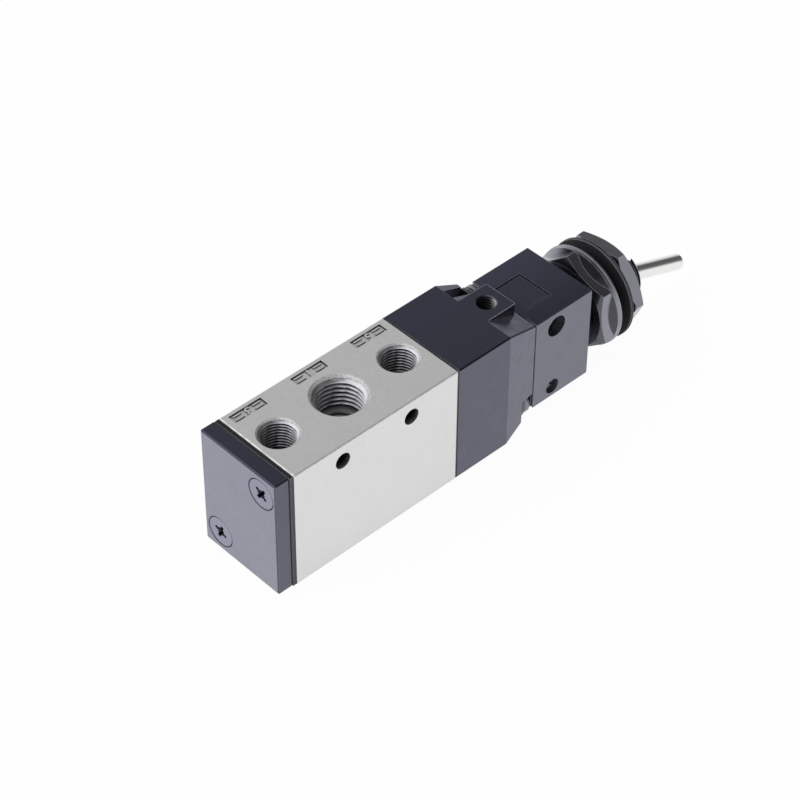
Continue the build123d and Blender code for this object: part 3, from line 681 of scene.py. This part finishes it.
def cut(piece, cutters):
    """Cut the cutters out of the piece's mesh, and remove them."""
    for cutter in cutters:
        modifier = piece.modifiers.new("cut", "BOOLEAN")
        modifier.operation = "DIFFERENCE"
        modifier.solver = "EXACT"
        modifier.object = cutter
    mesh = evaluated_mesh(piece)
    piece.modifiers.clear()
    piece.data = mesh
    for cutter in cutters:
        bpy.data.objects.remove(cutter)


def box_cutter(low, high):
    """A box between two corners."""
    xs, ys, zs = zip(low, high)
    points = [(x, y, z) for x in xs for y in ys for z in zs]
    faces = [(0, 1, 3, 2), (4, 6, 7, 5), (0, 4, 5, 1), (2, 3, 7, 6), (0, 2, 6, 4), (1, 5, 7, 3)]
    return faced_object("cutter", points, faces)


def rod_cutter(centre, radius, half):
    """A round rod along Y, as long as two halves."""
    points = []
    for y in (-half, half):
        for side in range(ROD_SIDES):
            angle = 2 * math.pi * side / ROD_SIDES
            points.append(centre + Vector((radius * math.cos(angle), y, radius * math.sin(angle))))
    faces = [tuple(range(ROD_SIDES)), tuple(reversed(range(ROD_SIDES, 2 * ROD_SIDES)))]
    for side in range(ROD_SIDES):
        after = (side + 1) % ROD_SIDES
        faces.append((after, side, side + ROD_SIDES, after + ROD_SIDES))
    return faced_object("cutter", points, faces)


def threaded_bushing(finish):
    """The bushing with its panel thread, guide bore, lever room and slotted mouth.

    It stands for the plain bushing of the frame, with the same outer size.
    """
    low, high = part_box("toggle_bushing")
    middle = (low.z + high.z) / 2
    outer = (high.z - low.z) / 2
    thread_start = low.x + SPIGOT_LENGTH
    guide_end = low.x + GUIDE_LENGTH
    rings = int((high.x - thread_start) / PANEL_PITCH * STEPS_PER_PITCH)

    # The outline runs along the outside and back through the bore, with the radii round each ring
    spigot = [SPIGOT_RADIUS] * THREAD_SIDES
    outline = [(low.x, spigot), (thread_start, spigot)]
    for ring in range(rings + 1):
        x = thread_start + (high.x - thread_start) * ring / rings
        run_out = min(x - thread_start, high.x - x) - MOUTH_CHAMFER
        limit = outer + min(0.0, run_out)
        radii = []
        for side in range(THREAD_SIDES):
            groove = thread_wave(x / PANEL_PITCH - side / THREAD_SIDES)
            radii.append(min(limit, outer - OUTER_DEPTH * PANEL_PITCH * groove))
        outline.append((x, radii))
    room = [ROOM_RADIUS] * THREAD_SIDES
    guide = [GUIDE_RADIUS] * THREAD_SIDES
    outline += [(high.x, room), (guide_end, room), (guide_end, guide), (low.x, guide)]
    points = []
    for x, radii in outline:
        for side, radius in enumerate(radii):
            angle = 2 * math.pi * side / THREAD_SIDES
            points.append(Vector((x, radius * math.cos(angle), middle + radius * math.sin(angle))))
    piece = faced_object("bushing_threaded", points, ring_grid(len(outline), closed=True))
    add_to_housing(piece, finish)

    # Cutting needs faces that look outwards
    outwards = bmesh.new()
    outwards.from_mesh(piece.data)
    bmesh.ops.recalc_face_normals(outwards, faces=outwards.faces)
    outwards.to_mesh(piece.data)
    outwards.free()

    half_slot = MOUTH_SLOT_WIDTH / 2
    slot_start = high.x - MOUTH_SLOT_DEPTH
    slot = box_cutter((slot_start, -half_slot, low.z - MM), (high.x + MM, half_slot, high.z + MM))
    pin_low, pin_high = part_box("lever_pivot_pin")
    pin_hole = rod_cutter((pin_low + pin_high) / 2, PIN_HOLE_RADIUS, 2 * outer)
    cut(piece, [slot, pin_hole])
    smooth(piece.data, BUSHING_CREASE)
    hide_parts("toggle_bushing")


def squeezed_spring(joint, finish):
    """A stand-in for the spring of a sliding joint, which stays with the housing as a copy of the spring's
    mesh and doesn't shorten as the joint moves.
    """
    deforming = JOINTS[joint]["deforming_nodes"][0]
    node = deforming["node"]
    piece = new_object(node + "_coil", NODES[node].data.copy())
    add_to_housing(piece, finish)
    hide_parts(node)
    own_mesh(piece)


def raised_number(text, place, finish):
    """A port number, read from the far side, between pairs of bars, raised inside its sunk field."""
    name = "port_number_" + text
    curve = bpy.data.curves.new(name, "FONT")
    curve.body = text
    curve.size = NUMBER_HEIGHT / HEIGHT_PER_FONT_SIZE
    curve.align_x = "CENTER"
    curve.align_y = "CENTER"
    curve.extrude = (NUMBER_RISE - NUMBER_EDGE) / 2
    curve.bevel_depth = NUMBER_EDGE
    flat = new_object(name, curve)
    mesh = evaluated_mesh(flat)
    bpy.data.objects.remove(flat)

    foot = min(corner.co.z for corner in mesh.vertices)
    relief = bmesh.new()
    relief.from_mesh(mesh)
    for side, row in ((-1, -1), (-1, 1), (1, -1), (1, 1)):
        bar = bmesh.ops.create_cube(relief, size=1.0)["verts"]
        middle = Matrix.Translation((side * BAR_OFFSET, row * BAR_SPREAD, foot + NUMBER_RISE / 2))
        size = Matrix.Diagonal((BAR_LENGTH, BAR_WIDTH, NUMBER_RISE, 1))
        bmesh.ops.transform(relief, matrix=middle @ size, verts=bar)
        rims = list(dict.fromkeys(edge for corner in bar for edge in corner.link_edges))
        bmesh.ops.bevel(relief, geom=rims, offset=NUMBER_EDGE, segments=2, affect="EDGES")
    relief.to_mesh(mesh)
    relief.free()

    turn = Matrix.Rotation(math.pi, 4, "Z")
    mesh.transform(Matrix.Translation(place - Vector((0, 0, foot))) @ turn)
    smooth(mesh, RELIEF_CREASE)
    add_to_housing(new_object(name, mesh), finish)


def white_for_sight(nodes, plain, share):
    """Mix a plain white into a surface for rays from the camera, mirrors and glass, and no others."""
    white = nodes.node("ShaderNodeEmission", Color=WHITE).outputs["Emission"]
    rays = nodes.node("ShaderNodeLightPath").outputs
    sight = nodes.any_of(rays["Is Camera Ray"], rays["Is Glossy Ray"], rays["Is Transmission Ray"])
    mixed = nodes.node("ShaderNodeMixShader", Fac=nodes.all_of(sight, share))
    nodes.feed(mixed.inputs[1], plain)
    nodes.feed(mixed.inputs[2], white)
    return mixed.outputs["Shader"]


def studio_floor():
    """A floor that looks white and keeps the part's shadow."""
    corners = ((-1, -1), (1, -1), (1, 1), (-1, 1))
    points = [(x * FLOOR_HALF, y * FLOOR_HALF, -FLOOR_DROP) for x, y in corners]
    floor = faced_object("floor", points, [(0, 1, 2, 3)])
    paint = bpy.data.materials.new("floor_paint")
    paint.use_nodes = True
    nodes = Nodes(paint.node_tree)
    nodes.tree.nodes.clear()
    matt = nodes.node("ShaderNodeBsdfDiffuse", Color=FLOOR_TONE).outputs["BSDF"]
    nodes.node("ShaderNodeOutputMaterial", Surface=white_for_sight(nodes, matt, WHITE_SHARE))
    floor.data.materials.append(paint)


def studio_world():
    """White to the camera and even light for matt surfaces.

    Metal sees a white horizon and a pale wall past the end cap, grey above them, a dark zenith and
    a dark card past the lever's end.
    """
    world = bpy.data.worlds.new("studio")
    bpy.context.scene.world = world
    world.use_nodes = True
    nodes = Nodes(world.node_tree)
    nodes.tree.nodes.clear()
    direction = nodes.node("ShaderNodeTexCoord").outputs["Generated"]
    split = nodes.node("ShaderNodeSeparateXYZ", Vector=direction).outputs
    regions = (
        (split["Z"], CEILING_LIMITS, CEILING),
        (split["Z"], ZENITH_LIMITS, ZENITH),
        (nodes.cosine(direction, CARD_SIDE), CARD_LIMITS, CARD),
    )
    bands = [nodes.spread(place, limits, (1.0, share), "SMOOTHSTEP") for place, limits, share in regions]
    sky = nodes.any_of(nodes.all_of(*bands), nodes.spread(split["X"], GLOW_LIMITS, (0.0, GLOW)))
    rays = nodes.node("ShaderNodeLightPath").outputs
    strength = nodes.blend(rays["Is Glossy Ray"], AMBIENT, sky, kind="FLOAT")
    strength = nodes.any_of(strength, rays["Is Camera Ray"], rays["Is Transmission Ray"])
    light = nodes.node("ShaderNodeBackground", Strength=strength).outputs["Background"]
    nodes.node("ShaderNodeOutputWorld", Surface=light)


def soft_light(name, place, side, power):
    """A square lamp that lights the part but leaves no bright square in the metal."""
    lamp = bpy.data.lights.new(name, "AREA")
    lamp.shape = "SQUARE"
    lamp.size = side
    lamp.energy = power
    holder = new_object(name, lamp)
    holder.location = place
    holder.rotation_euler = (LAMP_TARGET - place).to_track_quat("-Z", "Y").to_euler()
    holder.visible_glossy = False


def photo_camera():
    """The camera that the photograph was taken with."""
    forward = Vector((
        math.sin(CAMERA_HEADING) * math.cos(CAMERA_ELEVATION),
        math.cos(CAMERA_HEADING) * math.cos(CAMERA_ELEVATION),
        -math.sin(CAMERA_ELEVATION),
    ))
    level = forward.cross(Vector((0, 0, 1))).normalized()
    upright = level.cross(forward)
    right = level * math.cos(CAMERA_ROLL) + upright * math.sin(CAMERA_ROLL)
    up = right.cross(forward)
    lens = bpy.data.cameras.new("photo_camera")
    lens.lens = CAMERA_LENS
    lens.sensor_width = CAMERA_SENSOR
    lens.clip_start, lens.clip_end = CAMERA_CLIP
    camera = new_object("photo_camera", lens)
    turn = Matrix((right, up, -forward)).transposed().to_4x4()
    camera.matrix_world = Matrix.Translation(CAMERA_PLACE) @ turn
    bpy.context.scene.camera = camera


satin = satin_aluminium()
turned = turned_aluminium("turned_aluminium", level=1.0, reach=7 * MM, groove_reach=0.8 * MM)
port_metal = turned_aluminium(
    "black_port_metal", level=0.5, reach=1.6 * MM, groove_reach=0.35 * MM, unlit=0.05
)
anodised = black_anodised("black_anodised", ANODISED_SIDE, depth_tone=1.0, top_sheen_share=0.05)
pale_anodised = black_anodised("black_anodised_pilot", ANODISED_PILOT_SIDE, depth_tone=0.02, top_sheen_share=0.3)
nut_metal = black_nut_metal("black_nut_metal", level=0.27)
inner_nut_metal = black_nut_metal("black_inner_nut_metal", level=0.24, cone_shade=0.3, cone_top_shade=0.3)
bushing_metal = black_nut_metal("black_bushing_metal", level=0.09)
cap_screw_steel = black_screw_steel("cap_screw_steel", CAP_SCREW_TONE, band_glint=0.0, worn_and_highlit=0.1, closed_in=0.03)
screw_steel = black_screw_steel("black_screw_steel", cool(0.1), band_glint=0.6, worn_and_highlit=0.6, closed_in=0.45)
gasket_rubber = black_rubber("gasket_rubber", level=0.09, rim_highlight_level=0.16)
packing_rubber = black_rubber("packing_rubber", level=0.024, rim_highlight_level=0.35)
polished = polished_steel()
steel = turned_steel("turned_steel", metallic=1.0)
pin_steel = turned_steel("matt_pin_steel", metallic=0.3)
resin = moulded_resin()

dress(satin, "valve_body", "spool")
dress(anodised, "end_cap", "adapter_block")
dress(pale_anodised, "pilot_block")
dress(inner_nut_metal, "panel_nut_inner")
dress(nut_metal, "panel_nut_outer", "panel_washer")
dress(bushing_metal, "toggle_bushing")
dress(cap_screw_steel, "end_cap_screws")
dress(screw_steel, "adapter_screws", "adapter_screw_washers", "pilot_cross_screw")
dress(gasket_rubber, "end_cap_gasket", "adapter_gasket", "pilot_gasket")
dress(packing_rubber, "panel_packing", "spool_seals", "piston_seal", "plunger_seal", "pilot_poppet")
dress(polished, "toggle_lever")
dress(steel, "lever_pivot_pin", "pilot_plunger", "pilot_spring", "return_spring")
dress(pin_steel, "pilot_lock_pin")
dress(resin, "pilot_piston")

for port in ("supply_port", "cylinder_port_a", "cylinder_port_b"):
    port_thread(port, PIPE_QUARTER_PITCH, PIPE_DEPTH, turned)
for port in ("exhaust_port_1", "exhaust_port_2"):
    port_thread(port, PIPE_EIGHTH_PITCH, PIPE_DEPTH, turned)
port_thread("pilot_supply_port", PORT_M5_PITCH, METRIC_DEPTH, port_metal)
threaded_bushing(bushing_metal)
for joint in ("plunger_slide", "spool_slide"):
    squeezed_spring(joint, steel)

field_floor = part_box("valve_body")[1].z - FIELD_DEPTH
for port, text in PORT_NUMBERS.items():
    raised_number(text, Vector((MOUNTS[port]["pos_m"][0], FIELD_Y, field_floor)), satin)

studio_floor()
studio_world()
for name, place, side, power in LAMPS:
    soft_light(name, place, side, power)
photo_camera()

bpy.context.scene.view_settings.view_transform = "Standard"
